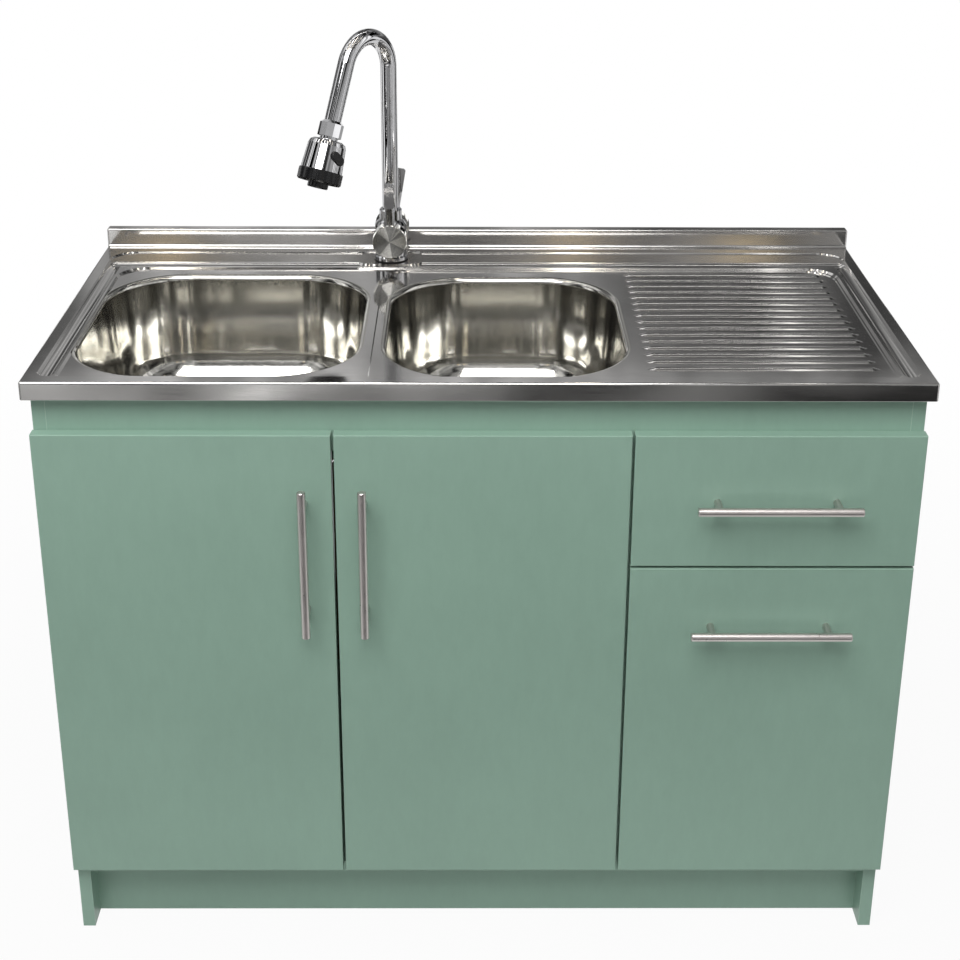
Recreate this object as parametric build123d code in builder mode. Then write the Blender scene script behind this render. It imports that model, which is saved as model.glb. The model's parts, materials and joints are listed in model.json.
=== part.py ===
from build123d import *
import os
from math import cos, radians, sin

# Kitchen sink unit: a pressed stainless double-bowl sink with a ribbed drainer and a
# gooseneck tap, on a cabinet with two doors and two drawers.
# Millimetres. +X right, +Y towards the wall, +Z up. The origin is on the floor under the
# middle of the whole unit, handles included.

os.makedirs("parts", exist_ok=True)

# ---------------------------------------------------------------- driving dimensions
# Sink top
sink_width = 1200.0
sink_depth = 600.0
sink_height = 890.0
sheet = 1.0
apron_height = 26.0
apron_return = 34.0
splash_height = 29.0
splash_width = 18.0
fold_radius = 3.0
hem_radius = 1.2
splash_radius = 2.0
splash_cove = 4.0
rim_side = 17.0
rim_front = 22.0
rim_rear = 29.0
rim_corner = 38.0
rim_front_corner = 14.0
ledge_drop = 2.0
deck_drop = 5.0
gutter_drop = 7.0
gutter_width = 20.0
gutter_front = 4.0
gutter_edge = 2.0
gutter_join = 4.0
bead_width = 7.0
side_bead_width = 3.0
deck_rear_corner = 45.0
deck_front_corner = 9.0
ledge_depth = 46.0
tap_pad_width = 112.0
tap_pad_depth = 62.0
tap_pad_corner = 28.0
rear_gutter_width = 20.0
rear_gutter_drop = 6.0
press_draft = 45.0

# Bowls
bowl_drop = 178.0
bowl_corner = 122.0
bowl_lip = 8.0
bowl_draft = 4.0
bowl_floor_fillet = 62.0
bowl_front = 32.0
left_bowl_width = 403.0
left_bowl_rear = 23.0
right_bowl_width = 347.0
right_bowl_rear = 30.0
bowl_side = 37.0
bowl_gap = 23.0
weld_gap = 0.1
edge_reach = 0.1

# Lowered field that holds the right bowl and the drainer
field_step = 1.5
field_margin = 11.0

# Drainer ribs
rib_count = 16
rib_length = 314.0
rib_width = 13.0
rib_height = 2.6
rib_tip = 12.0
rib_tip_sink = 0.3
rib_side = 62.0
rib_front = 66.0
rib_rear = 24.0

# Waste strainers
waste_hole = 90.0
waste_flange = 112.0
waste_cup = 84.0
waste_cup_depth = 46.0
waste_outlet = 38.0
waste_outlet_length = 26.0
waste_wall = 2.0
waste_gasket = 3.0
waste_nut_height = 11.0
waste_nut_lug = 5.0
waste_nut_lugs = 6
waste_flange_edge = 0.8
waste_flange_crown = 1.6
waste_flange_slope = 3.0
waste_cone = 6.0
basket_seat = 2.0
basket_seat_drop = 6.0
basket_steel = 1.2
basket_height = 32.0
basket_floor_bevel = 3.0
basket_knob = 16.0
basket_stem = 6.0
basket_knob_height = 5.0
basket_hole = 5.0
basket_inner_holes = 8
basket_inner_circle = 30.0
basket_outer_holes = 14
basket_outer_circle = 54.0

# Cabinet
board = 18.0
side_overhang = 9.0
carcass_setback = 20.0
wall_gap = 20.0
back_board = 3.0
kick_height = 100.0
kick_setback = 38.0
rail_height = 80.0
rear_rail_height = 80.0
partition_clearance = 12.0
partition_stile = 68.0
services_width = 360.0
services_height = 260.0
services_bottom = 300.0
services_centre = -20.0
screw_head = 10.0
screw_shank = 5.0
screw_length = 50.0
screw_head_depth = 3.0
screw_inset = 80.0
screw_tip_room = 1.0
rail_screw_high = 24.0
rail_screw_low = 60.0
screw_clearance = 0.1
wall_hole = 6.0
wall_hole_spacing = 900.0

# Doors and drawer fronts
front_board = 18.0
front_gap = 0.5
front_reveal = 4.0
front_overhang = 1.5
front_lift = 16.0
front_drop = 50.0
left_door_pitch = 396.0
right_door_pitch = 399.0
upper_front_height = 195.5
split_reveal = 4.0
front_edge_round = 1.0

# Bar handles
handle_length = 220.0
handle_spacing = 160.0
handle_bar = 12.0
handle_post = 10.0
handle_reach = 30.0
handle_edge = 38.0
door_handle_top = 68.0
lower_handle_drop = 89.0
handle_screw = 4.0
handle_screw_head = 8.0
handle_screw_depth = 12.0
handle_screw_head_depth = 2.0
handle_chamfer = 1.0

# Concealed hinges
hinge_cup = 35.0
hinge_cup_depth = 12.5
hinge_cup_inset = 22.5
hinge_cup_wall = 1.5
hinge_end = 90.0
hinge_arm_width = 12.0
hinge_arm_length = 62.0
hinge_plate_setback = 20.0
hinge_plate = 2.0
hinge_plate_height = 50.0

# Drawer boxes
drawer_board = 15.0
runner_space = 12.5
drawer_length = 450.0
drawer_bottom_board = 4.0
drawer_groove_lift = 7.5
drawer_groove = 5.0
upper_box_lift = 33.5
upper_box_headroom = 22.0
lower_box_lift = 34.0
lower_box_headroom = 202.0
runner_steel = 1.2
runner_height = 34.0
roller_radius = 11.0
roller_width = 6.5
runner_clearance = 0.4
runner_below_box = 4.0
runner_leg_drop = 11.3
runner_end_gap = 1.0
roller_end_gap = 2.0
roller_pin = 6.0

# Tap
tap_beside_bowl = 22.0
tap_ledge_inset = 21.0
tap_hole = 35.0
tap_body = 50.0
tap_base = 54.0
tap_base_height = 7.0
tap_gasket = 2.0
tap_gasket_inset = 1.0
tap_base_bevel = 2.0
tap_shank_roof = 1.0
tap_shoulder_edge = 4.0
tap_shoulder_rise = 5.6
tap_body_height = 56.0
tap_shoulder = 8.0
tap_arm = 40.0
tap_arm_reach = 34.0
tap_arm_height = 40.0
tap_shank = 33.0
tap_shank_length = 62.0
tap_nut = 46.0
tap_nut_height = 9.0
inlet_thread = 10.0
inlet_depth = 14.0
inlet_spacing = 15.0
headwork = 24.0
headwork_depth = 20.0
spindle = 8.0
spindle_length = 12.0
lever_cap = 54.0
lever_cap_depth = 19.0
lever_cap_wall = 3.0
lever_cap_bevel = 1.2
lever_cap_gap = 1.0
lever_hub = 14.0
lever_width = 15.0
lever_blade = 5.0
lever_stem_length = 32.0
lever_stem_sink = 8.0
lever_lap = 6.0
lever_blade_round = 3.0
lever_reach = 94.0
rear_lever_turn = 9.5
collar = 35.0
collar_height = 17.0
collar_bevel = 2.0
spout_tube = 25.0
spout_wall = 1.5
spout_socket = 20.0
spout_bend = 52.0
spout_rise = 1196.0
spout_sweep = 157.0
spout_leg = 87.0
spout_turn = 35.8
running_gap = 0.3

# Spray head
spray_nut = 36.0
spray_nut_height = 24.0
spray_nut_flats = 10
spray_nut_bevel = 4.0
spray_nut_seat = 12.0
spray_nut_room = 1.0
spray_neck = 27.0
spray_shoulder = 57.0
spray_shoulder_at = 37.0
spray_flange_height = 4.0
spray_shoulder_foot = 7.0
spray_shoulder_edge = 2.0
spray_shoulder_slope = 8.0
spray_shoulder_round = 5.0
spray_cavity_roof = 6.0
spray_mouth = 63.0
spray_body_end = 75.0
spray_ring = 66.5
spray_ring_height = 18.0
spray_grips = 20
spray_grip_radius = 1.0
spray_grip_out = 0.2
spray_ring_lip = 0.5
spray_ring_lip_height = 1.0
spray_ring_bevel = 2.0
spray_nozzle = 31.0
spray_nozzle_height = 8.0
spray_nozzle_bevel = 1.0
spray_outlets = 8
spray_outlet = 2.4
spray_outlet_circle = 18.6
spray_outlet_depth = 3.0
spray_button_length = 26.0
spray_button_width = 14.0
spray_button_depth = 6.0
spray_button_round = 1.2
spray_button_at = 54.0
spray_button_angle = 80.0
spray_button_tilt = 27.0
button_pocket_depth = 5.2
button_proud = 2.7
neck_radius = 8.7
spray_cavity = 23.0
ring_spigot = 9.0

# Sink clips
clip_width = 24.0
clip_length = 40.0
clip_steel = 2.0
clip_inset = 90.0
clip_hook = 6.0

# ---------------------------------------------------------------- derived places
handle_front = handle_reach + handle_bar / 2
front_face_setback = carcass_setback - front_gap - front_board
front_of_all = front_face_setback - handle_front
middle = (sink_depth + front_of_all) / 2


def behind(distance):
    """Y of a plane that lies this far behind the sink's front edge."""
    return distance - middle


sink_front = behind(0)
sink_rear = behind(sink_depth)
splash_front = behind(sink_depth - splash_width)
carcass_width = sink_width - 2 * side_overhang
carcass_half = carcass_width / 2
carcass_top = sink_height - apron_height
carcass_front = behind(carcass_setback)
carcass_rear = sink_rear - wall_gap
board_rear = carcass_rear - back_board
inner_half = carcass_half - board
front_plane = behind(front_face_setback)
front_back_plane = front_plane + front_board
ledge_level = sink_height - ledge_drop
deck_level = sink_height - deck_drop
field_level = deck_level - field_step
recess_half = sink_width / 2 - rim_side
recess_front = behind(rim_front)
ledge_rear = splash_front - rim_rear
ledge_front = ledge_rear - ledge_depth
rear_gutter_front = ledge_front - rear_gutter_width
deck_rear = rear_gutter_front - bead_width
gutter_outer = recess_half - gutter_edge
gutter_inner = gutter_outer - gutter_width
deck_half = gutter_inner - side_bead_width
left_bowl_length = deck_rear - left_bowl_rear - behind(bowl_front)
left_bowl_centre = bowl_side - (sink_width - left_bowl_width) / 2
right_bowl_length = deck_rear - right_bowl_rear - behind(bowl_front)
right_bowl_centre = left_bowl_centre + bowl_gap + (left_bowl_width + right_bowl_width) / 2
rib_centre = sink_width / 2 - rib_side - rib_length / 2
rib_pitch = (deck_rear - rib_rear - behind(rib_front)) / (rib_count - 1)
front_top = carcass_top - front_drop
front_bottom = kick_height + front_lift
drawer_split = front_top - upper_front_height
doors_meet = -carcass_half + left_door_pitch
partition_centre = doors_meet + right_door_pitch
partition_left = partition_centre - board / 2
partition_right = partition_centre + board / 2
door_left_edge = -carcass_half - front_overhang
door_right_edge = carcass_half + front_overhang
tap_x = left_bowl_centre + left_bowl_width / 2 + tap_beside_bowl
tap_y = ledge_front + tap_ledge_inset
upper_box_bottom = drawer_split + upper_box_lift
upper_box_height = carcass_top - rail_height - upper_box_headroom - upper_box_bottom
lower_box_bottom = front_bottom + lower_box_lift
lower_box_height = upper_box_bottom - lower_box_headroom - lower_box_bottom


def save(builder, name):
    """Label a finished piece and write it to its own file."""
    builder.part.label = name
    export_step(builder.part, f"parts/{name}.step")


def box_between(x_range, y_range, z_range, mode=Mode.ADD):
    """An upright box between two corners, in the current part."""
    with BuildSketch(Plane.XY.offset(z_range[0]), mode=Mode.PRIVATE) as footprint:
        with Locations(((x_range[0] + x_range[1]) / 2, (y_range[0] + y_range[1]) / 2)):
            Rectangle(x_range[1] - x_range[0], y_range[1] - y_range[0])
    extrude(footprint.sketch, amount=z_range[1] - z_range[0], mode=mode)


def rounded_pocket(x_range, y_range, top, drop, rear_corner, front_corner):
    """A pressed pocket with sloping walls, cut down from a level of the current part."""
    with BuildSketch(Plane.XY.offset(top), mode=Mode.PRIVATE) as outline:
        with Locations(((x_range[0] + x_range[1]) / 2, (y_range[0] + y_range[1]) / 2)):
            Rectangle(x_range[1] - x_range[0], y_range[1] - y_range[0])
        fillet(outline.vertices().group_by(Axis.Y)[-1], rear_corner)
        fillet(outline.vertices().group_by(Axis.Y)[0], front_corner)
    extrude(outline.sketch, amount=-drop, taper=press_draft, mode=Mode.SUBTRACT)


def trough(start, end, width, drop):
    """A round gutter with round ends between two points (X, Y), pressed into the ledge's level."""
    radius = (width**2 / 4 + drop**2) / (2 * drop)
    centre_z = ledge_level - drop + radius
    first = Vector(start[0], start[1], centre_z)
    last = Vector(end[0], end[1], centre_z)
    with BuildSketch(Plane(first, z_dir=last - first), mode=Mode.PRIVATE) as section:
        Circle(radius)
    extrude(section.sketch, amount=(last - first).length, mode=Mode.SUBTRACT)
    with Locations(first, last):
        Sphere(radius, mode=Mode.SUBTRACT)


# ---------------------------------------------------------------- sink: pressed top
# The outside is shaped on a solid block. The sheet is that block less the same block
# moved down by one sheet thickness, with its sides drawn in as much.
rib_radius = (rib_width**2 / 4 + rib_height**2) / (2 * rib_height)
rib_axis_z = field_level + rib_height - rib_radius
sink_half = sink_width / 2
splash_top = sink_height + splash_height

with BuildPart() as rib_form:
    with BuildSketch(Plane.XZ) as rib_profile:
        with BuildLine():
            rib_half = rib_length / 2
            tip_radius = rib_radius - rib_height - rib_tip_sink
            Polyline(
                (-rib_half, 0),
                (-rib_half, tip_radius),
                (-rib_half + rib_tip, rib_radius),
                (rib_half - rib_tip, rib_radius),
                (rib_half, tip_radius),
                (rib_half, 0),
                close=True,
            )
        make_face()
    revolve(axis=Axis.X)


def lying(edge_list, axis, y=None, z=None):
    """The edges along an axis that lie at a given Y, Z or both."""
    found = edge_list.filter_by(axis)
    if y is not None:
        found = found.filter_by_position(Axis.Y, y - edge_reach, y + edge_reach)
    if z is not None:
        found = found.filter_by_position(Axis.Z, z - edge_reach, z + edge_reach)
    return found


def in_front(edge_list, y):
    """The edges whose middle lies in front of a given Y."""
    return edge_list.filter_by(lambda edge: edge.center().Y < y - edge_reach)


with BuildPart() as deck_form:
    box_between((-sink_half, sink_half), (sink_front, sink_rear), (carcass_top, sink_height))
    box_between((-sink_half, sink_half), (splash_front, sink_rear), (carcass_top, splash_top))
    fillet(lying(deck_form.edges(), Axis.X, splash_front, sink_height), splash_cove)
    fillet(lying(deck_form.edges(), Axis.X, z=splash_top), splash_radius)
    fillet(lying(deck_form.edges(), Axis.Z, sink_front), fold_radius)
    top_face = deck_form.faces().filter_by(Axis.Z).group_by(Axis.Z)[-2].sort_by(SortBy.AREA)[-1]
    fillet(in_front(top_face.edges(), splash_front - splash_cove), fold_radius)
    under_face = deck_form.faces().sort_by(Axis.Z)[0]
    fillet(in_front(under_face.edges(), sink_rear), hem_radius)
    # field inside the flat rim, down to the level of the tap ledge
    rounded_pocket(
        (-recess_half, recess_half),
        (recess_front, ledge_rear),
        sink_height,
        ledge_drop,
        rim_corner,
        rim_front_corner,
    )
    # gutters along both sides and in front of the tap ledge
    rear_gutter_middle = ledge_front - rear_gutter_width / 2
    for side in (-1, 1):
        gutter_middle = side * (gutter_inner + gutter_outer) / 2
        trough(
            (gutter_middle, recess_front + gutter_front + gutter_width / 2),
            (gutter_middle, rear_gutter_middle - gutter_join),
            gutter_width,
            gutter_drop - ledge_drop,
        )
    trough(
        (-gutter_outer + rear_gutter_width / 2 + gutter_edge, rear_gutter_middle),
        (gutter_outer - rear_gutter_width / 2 - gutter_edge, rear_gutter_middle),
        rear_gutter_width,
        rear_gutter_drop - ledge_drop,
    )
    # flat pad under the tap, standing in the gutter and let into the rear rim
    with BuildSketch(Plane.XY.offset(ledge_level), mode=Mode.PRIVATE) as tap_pad:
        with Locations((tap_x, tap_y)):
            RectangleRounded(tap_pad_width, tap_pad_depth, tap_pad_corner)
    extrude(tap_pad.sketch, amount=ledge_drop, taper=-press_draft, mode=Mode.SUBTRACT)
    extrude(tap_pad.sketch, amount=ledge_drop - rear_gutter_drop, taper=-press_draft)
    # flat deck round the bowls
    rounded_pocket(
        (-deck_half, deck_half),
        (recess_front + ledge_drop, deck_rear),
        ledge_level,
        deck_drop - ledge_drop,
        deck_rear_corner,
        deck_front_corner,
    )
    # lowered field of the right bowl and the drainer
    field_left = right_bowl_centre - right_bowl_width / 2 - field_margin
    rounded_pocket(
        (field_left, deck_half - deck_drop),
        (recess_front + deck_drop, deck_rear - deck_drop),
        deck_level,
        field_step,
        deck_rear_corner,
        deck_front_corner,
    )
    with Locations(
        *[
            (rib_centre, behind(rib_front) + index * rib_pitch, rib_axis_z)
            for index in range(rib_count)
        ]
    ):
        add(rib_form.part)


def mouth_outline(plan, inset, level):
    """Rounded outline of a bowl's mouth at a level, drawn in by an inset."""
    width, length, centre = plan
    with BuildSketch(Plane.XY.offset(level), mode=Mode.PRIVATE) as outline:
        with Locations((centre, behind(bowl_front) + length / 2)):
            RectangleRounded(width - 2 * inset, length - 2 * inset, bowl_corner - inset)
    return outline.sketch


left_bowl_plan = (left_bowl_width, left_bowl_length, left_bowl_centre)
right_bowl_plan = (right_bowl_width, right_bowl_length, right_bowl_centre)

with BuildPart() as deck_hollow:
    box_between(
        (-sink_half + sheet, sink_half - sheet),
        (sink_front + sheet, sink_rear - sheet),
        (carcass_top + sheet, sink_height - sheet),
    )
    fillet(lying(deck_hollow.edges(), Axis.Z, sink_front + sheet), fold_radius - sheet)
    box_between(
        (-sink_half + sheet, sink_half - sheet),
        (splash_front + sheet, sink_rear - sheet),
        (carcass_top + sheet, splash_top),
    )
    add(deck_form.part.moved(Location((0, 0, -sheet))), mode=Mode.INTERSECT)

cut_reach = 2 * sheet

with BuildPart() as sink_deck:
    add(deck_form.part)
    add(deck_hollow.part, mode=Mode.SUBTRACT)
    # the sheet returns inwards under the apron and rests on the cabinet
    box_between(
        (-sink_half + apron_return, sink_half - apron_return),
        (sink_front + apron_return, sink_rear - apron_return),
        (carcass_top, carcass_top + sheet),
        mode=Mode.SUBTRACT,
    )
    for plan, level in ((left_bowl_plan, deck_level), (right_bowl_plan, field_level)):
        mouth = mouth_outline(plan, -weld_gap, level - cut_reach)
        extrude(mouth, amount=2 * cut_reach, mode=Mode.SUBTRACT)
    with Locations((tap_x, tap_y, ledge_level)):
        Hole(tap_hole / 2, depth=cut_reach)
save(sink_deck, "sink_deck")

# ---------------------------------------------------------------- sink: drawn bowls


def bowl_hollow(plan, level, lip):
    """Solid in the shape of a bowl's hollow, with its rolled lip, below a level."""
    with BuildPart() as body:
        extrude(mouth_outline(plan, lip, level), amount=-bowl_drop, taper=bowl_draft)
        fillet(body.faces().sort_by(Axis.Z)[0].edges(), bowl_floor_fillet + bowl_lip - lip)
    with BuildPart() as surround:
        extrude(mouth_outline(plan, -bowl_lip, level), amount=-bowl_drop - bowl_lip)
        add(body.part, mode=Mode.SUBTRACT)
        fillet(surround.faces().sort_by(Axis.Z)[-1].inner_wires()[0].edges(), lip)
    with BuildPart() as hollow:
        extrude(mouth_outline(plan, -bowl_lip, level), amount=-bowl_drop - bowl_lip)
        add(surround.part, mode=Mode.SUBTRACT)
    return hollow.part


def waste_place(plan):
    """X and Y of a bowl's waste, in the middle of its floor."""
    return plan[2], behind(bowl_front) + plan[1] / 2


def build_bowl(plan, level):
    """One drawn bowl, of even sheet, with the hole for its waste."""
    outside = bowl_hollow(plan, level - sheet, bowl_lip - sheet)
    inside = bowl_hollow(plan, level, bowl_lip)
    waste_x, waste_y = waste_place(plan)
    with BuildPart() as bowl:
        add(outside)
        extrude(mouth_outline(plan, 0, level - sheet), amount=sheet)
        add(inside, mode=Mode.SUBTRACT)
        with Locations((waste_x, waste_y, level - bowl_drop)):
            Hole(waste_hole / 2, depth=2 * sheet)
    return bowl


for side, plan, level in (
    ("left", left_bowl_plan, deck_level),
    ("right", right_bowl_plan, field_level),
):
    save(build_bowl(plan, level), f"{side}_bowl")

# ---------------------------------------------------------------- waste strainers


def turned(points, place):
    """A solid of revolution about an upright line, from (radius, height) points."""
    with BuildPart() as piece:
        with BuildSketch(Plane(place, x_dir=(1, 0, 0), z_dir=(0, -1, 0))):
            with BuildLine():
                Polyline(*points, close=True)
            make_face()
        revolve(axis=Axis(place, (0, 0, 1)))
    return piece


for side, plan, level in (
    ("left", left_bowl_plan, deck_level),
    ("right", right_bowl_plan, field_level),
):
    waste_x, waste_y = waste_place(plan)
    floor_top = level - bowl_drop
    floor_under = floor_top - sheet
    foot = (waste_x, waste_y, floor_top)
    cup_radius = waste_cup / 2
    cup_inside = cup_radius - waste_wall
    seat_inside = cup_inside - basket_seat
    outlet_radius = waste_outlet / 2
    outlet_top = -waste_cup_depth
    cup = turned(
        [
            (waste_flange / 2, 0),
            (waste_flange / 2, waste_flange_edge),
            (cup_inside + waste_flange_slope, waste_flange_crown),
            (cup_inside, 0),
            (cup_inside, -basket_seat_drop),
            (seat_inside, -basket_seat_drop),
            (seat_inside, outlet_top + waste_wall + waste_cone),
            (outlet_radius - waste_wall, outlet_top + waste_wall),
            (outlet_radius - waste_wall, outlet_top - waste_outlet_length),
            (outlet_radius, outlet_top - waste_outlet_length),
            (outlet_radius, outlet_top),
            (cup_radius, outlet_top + waste_cone),
            (cup_radius, 0),
        ],
        foot,
    )
    save(cup, f"{side}_strainer_cup")
    gasket_top = floor_under - floor_top
    gasket = turned(
        [
            (cup_radius + screw_clearance, gasket_top),
            (waste_flange / 2, gasket_top),
            (waste_flange / 2, gasket_top - waste_gasket),
            (cup_radius + screw_clearance, gasket_top - waste_gasket),
        ],
        foot,
    )
    save(gasket, f"{side}_strainer_gasket")
    nut_bottom = floor_under - waste_gasket - waste_nut_height
    nut_radius = (waste_flange - waste_nut_lug) / 2
    with BuildPart() as nut:
        with BuildSketch(Plane.XY.offset(nut_bottom)):
            with Locations((waste_x, waste_y)):
                Circle(nut_radius)
                with PolarLocations(nut_radius, waste_nut_lugs):
                    Circle(waste_nut_lug)
                Circle(cup_radius + screw_clearance, mode=Mode.SUBTRACT)
        extrude(amount=waste_nut_height)
    save(nut, f"{side}_strainer_nut")
    rim_radius = cup_inside - running_gap
    rim_under = running_gap - basket_seat_drop
    basket_radius = seat_inside - 2 * running_gap
    basket_inside = basket_radius - basket_steel
    basket_bottom = -basket_height
    basket_floor = basket_bottom + basket_steel
    basket = turned(
        [
            (0, basket_bottom),
            (basket_radius - basket_floor_bevel, basket_bottom),
            (basket_radius, basket_bottom + basket_floor_bevel),
            (basket_radius, rim_under),
            (rim_radius, rim_under),
            (rim_radius, rim_under + basket_steel),
            (basket_inside, rim_under + basket_steel),
            (basket_inside, basket_floor + basket_floor_bevel),
            (basket_inside - basket_floor_bevel, basket_floor),
            (basket_stem / 2, basket_floor),
            (basket_stem / 2, rim_under),
            (basket_knob / 2, rim_under + basket_steel),
            (basket_knob / 2, rim_under + basket_knob_height - basket_steel),
            (basket_stem / 2, rim_under + basket_knob_height),
            (0, rim_under + basket_knob_height),
        ],
        foot,
    )
    with basket:
        with BuildSketch(Plane.XY.offset(floor_top + basket_floor), mode=Mode.PRIVATE) as holes:
            with Locations((waste_x, waste_y)):
                with PolarLocations(basket_inner_circle / 2, basket_inner_holes):
                    Circle(basket_hole / 2)
                with PolarLocations(basket_outer_circle / 2, basket_outer_holes):
                    Circle(basket_hole / 2)
        extrude(holes.sketch, amount=-basket_steel, mode=Mode.SUBTRACT)
    save(basket, f"{side}_basket")

# ---------------------------------------------------------------- cabinet
carcass_floor_top = kick_height + board
rail_bottom = carcass_top - rail_height
rear_rail_bottom = carcass_top - rear_rail_height
screw_places = [
    (carcass_front + board / 2, carcass_top - rail_screw_high),
    (carcass_front + board / 2, carcass_top - rail_screw_low),
    (board_rear - board / 2, carcass_top - rail_screw_high),
    (board_rear - board / 2, carcass_top - rail_screw_low),
    (carcass_front + screw_inset, kick_height + board / 2),
    (board_rear - screw_inset, kick_height + board / 2),
]


def rod(start, direction, radius, length, mode=Mode.ADD):
    """A round rod from a point along a direction, in the current part."""
    with BuildSketch(Plane(start, z_dir=direction), mode=Mode.PRIVATE) as section:
        Circle(radius)
    extrude(section.sketch, amount=length, mode=mode)


def screw_bores(side):
    """Bores for the screws that come in through one side panel."""
    for place_y, place_z in screw_places:
        start = (side * carcass_half, place_y, place_z)
        inwards = (-side, 0, 0)
        rod(start, inwards, screw_shank / 2 + screw_clearance, screw_length + screw_tip_room, Mode.SUBTRACT)
        rod(start, inwards, screw_head / 2 + screw_clearance, screw_head_depth, Mode.SUBTRACT)


for side, name in ((-1, "left_side_panel"), (1, "right_side_panel")):
    with BuildPart() as side_panel:
        box_between(
            sorted((side * inner_half, side * carcass_half)), (carcass_front, board_rear), (0, carcass_top)
        )
        screw_bores(side)
    save(side_panel, name)

with BuildPart() as screws:
    for side in (-1, 1):
        for place_y, place_z in screw_places:
            start = (side * carcass_half, place_y, place_z)
            rod(start, (-side, 0, 0), screw_head / 2, screw_head_depth)
            rod(start, (-side, 0, 0), screw_shank / 2, screw_length)
save(screws, "assembly_screws")


def wall_bores():
    """The two bores for the screws that hold the unit to the wall."""
    for hole_x in (-wall_hole_spacing / 2, wall_hole_spacing / 2):
        start = (hole_x, carcass_rear, carcass_top - rear_rail_height / 2)
        rod(start, (0, -1, 0), wall_hole / 2, back_board + board, Mode.SUBTRACT)


def board_between_sides(y_range, z_range):
    """A board that runs from one side panel to the other, bored for its screws."""
    with BuildPart() as piece:
        box_between((-inner_half, inner_half), y_range, z_range)
        screw_bores(-1)
        screw_bores(1)
    return piece


bottom_panel = board_between_sides((carcass_front, board_rear), (kick_height, carcass_floor_top))
save(bottom_panel, "bottom_panel")
front_rail = board_between_sides((carcass_front, carcass_front + board), (rail_bottom, carcass_top))
save(front_rail, "front_rail")
rear_rail = board_between_sides((board_rear - board, board_rear), (rear_rail_bottom, carcass_top))
with rear_rail:
    wall_bores()
save(rear_rail, "rear_rail")

with BuildPart() as kick_board:
    kick_front = carcass_front + kick_setback
    box_between((-inner_half, inner_half), (kick_front, kick_front + board), (0, kick_height))
save(kick_board, "kick_board")

with BuildPart() as back_panel:
    box_between((-carcass_half, carcass_half), (board_rear, carcass_rear), (kick_height, carcass_top))
    box_between(
        (services_centre - services_width / 2, services_centre + services_width / 2),
        (board_rear, carcass_rear),
        (services_bottom, services_bottom + services_height),
        mode=Mode.SUBTRACT,
    )
    wall_bores()
save(back_panel, "back_panel")

# The partition is cut away under the right bowl; a stile at each end reaches the rails.
partition_top = field_level - bowl_drop - sheet - partition_clearance
with BuildPart() as partition:
    box_between(
        (partition_left, partition_right), (carcass_front, board_rear), (carcass_floor_top, partition_top)
    )
    box_between(
        (partition_left, partition_right),
        (carcass_front, carcass_front + partition_stile),
        (partition_top, rail_bottom),
    )
    box_between(
        (partition_left, partition_right),
        (board_rear - partition_stile, board_rear),
        (partition_top, rear_rail_bottom),
    )
save(partition, "partition")

# Clips hook over the sink's return flange and are screwed to the side panels.
with BuildPart() as clips:
    flange_inner = sink_width / 2 - apron_return
    flange_top = carcass_top + sheet
    for side in (-1, 1):
        for place_y in (sink_front + clip_inset, sink_rear - clip_inset):
            clip_plane = Plane((0, place_y - clip_width / 2, 0), x_dir=(1, 0, 0), z_dir=(0, 1, 0))
            with BuildSketch(clip_plane, mode=Mode.PRIVATE) as shape:
                with BuildLine():
                    hook_in = flange_inner - clip_steel - sheet
                    hook_out = flange_inner + clip_hook
                    step = carcass_top - 2 * clip_steel
                    corners = [
                        (inner_half, carcass_top - clip_length),
                        (inner_half, step + clip_steel),
                        (hook_in + clip_steel, step + clip_steel),
                        (hook_in + clip_steel, flange_top),
                        (hook_out, flange_top),
                        (hook_out, flange_top + clip_steel),
                        (hook_in, flange_top + clip_steel),
                        (hook_in, step),
                        (inner_half - clip_steel, step),
                        (inner_half - clip_steel, carcass_top - clip_length),
                    ]
                    Polyline(*[(side * x, -z) for x, z in corners], close=True)
                make_face()
            extrude(shape.sketch, amount=clip_width)
save(clips, "sink_clips")

# ---------------------------------------------------------------- bar handles


def handle_screws(place, across, radius, start_y, end_y, mode=Mode.ADD):
    """The two screw shanks or bores of a handle, between two depths."""
    for offset in (-handle_spacing / 2, handle_spacing / 2):
        start = (place[0] + across[0] * offset, start_y, place[1] + across[2] * offset)
        rod(start, (0, 1, 0), radius, end_y - start_y, mode)


def bar_handle(place, across, name):
    """A round bar on two posts, with the screws that hold it through the front."""
    bar_y = front_plane - handle_reach
    with BuildPart() as handle:
        start = (
            place[0] - across[0] * handle_length / 2,
            bar_y,
            place[1] - across[2] * handle_length / 2,
        )
        rod(start, across, handle_bar / 2, handle_length)
        ends = handle.edges().filter_by(GeomType.CIRCLE)
        chamfer(ends, handle_chamfer)
        for offset in (-handle_spacing / 2, handle_spacing / 2):
            foot = (place[0] + across[0] * offset, bar_y, place[1] + across[2] * offset)
            rod(foot, (0, 1, 0), handle_post / 2, handle_reach)
        handle_screws(
            place,
            across,
            handle_screw / 2 + screw_clearance,
            front_plane - handle_screw_depth - screw_tip_room,
            front_plane,
            Mode.SUBTRACT,
        )
        handle_screws(
            place, across, handle_screw / 2, front_plane - handle_screw_depth, front_back_plane
        )
        handle_screws(
            place,
            across,
            handle_screw_head / 2,
            front_back_plane,
            front_back_plane + handle_screw_head_depth,
        )
    save(handle, name)


upright = (0, 0, 1)
level_across = (1, 0, 0)

# ---------------------------------------------------------------- doors
hinge_heights = (front_bottom + hinge_end, front_top - hinge_end)
door_plans = {
    "left": (door_left_edge, doors_meet - front_reveal / 2, -1),
    "right": (doors_meet + front_reveal / 2, partition_centre - front_reveal / 2, 1),
}

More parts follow.
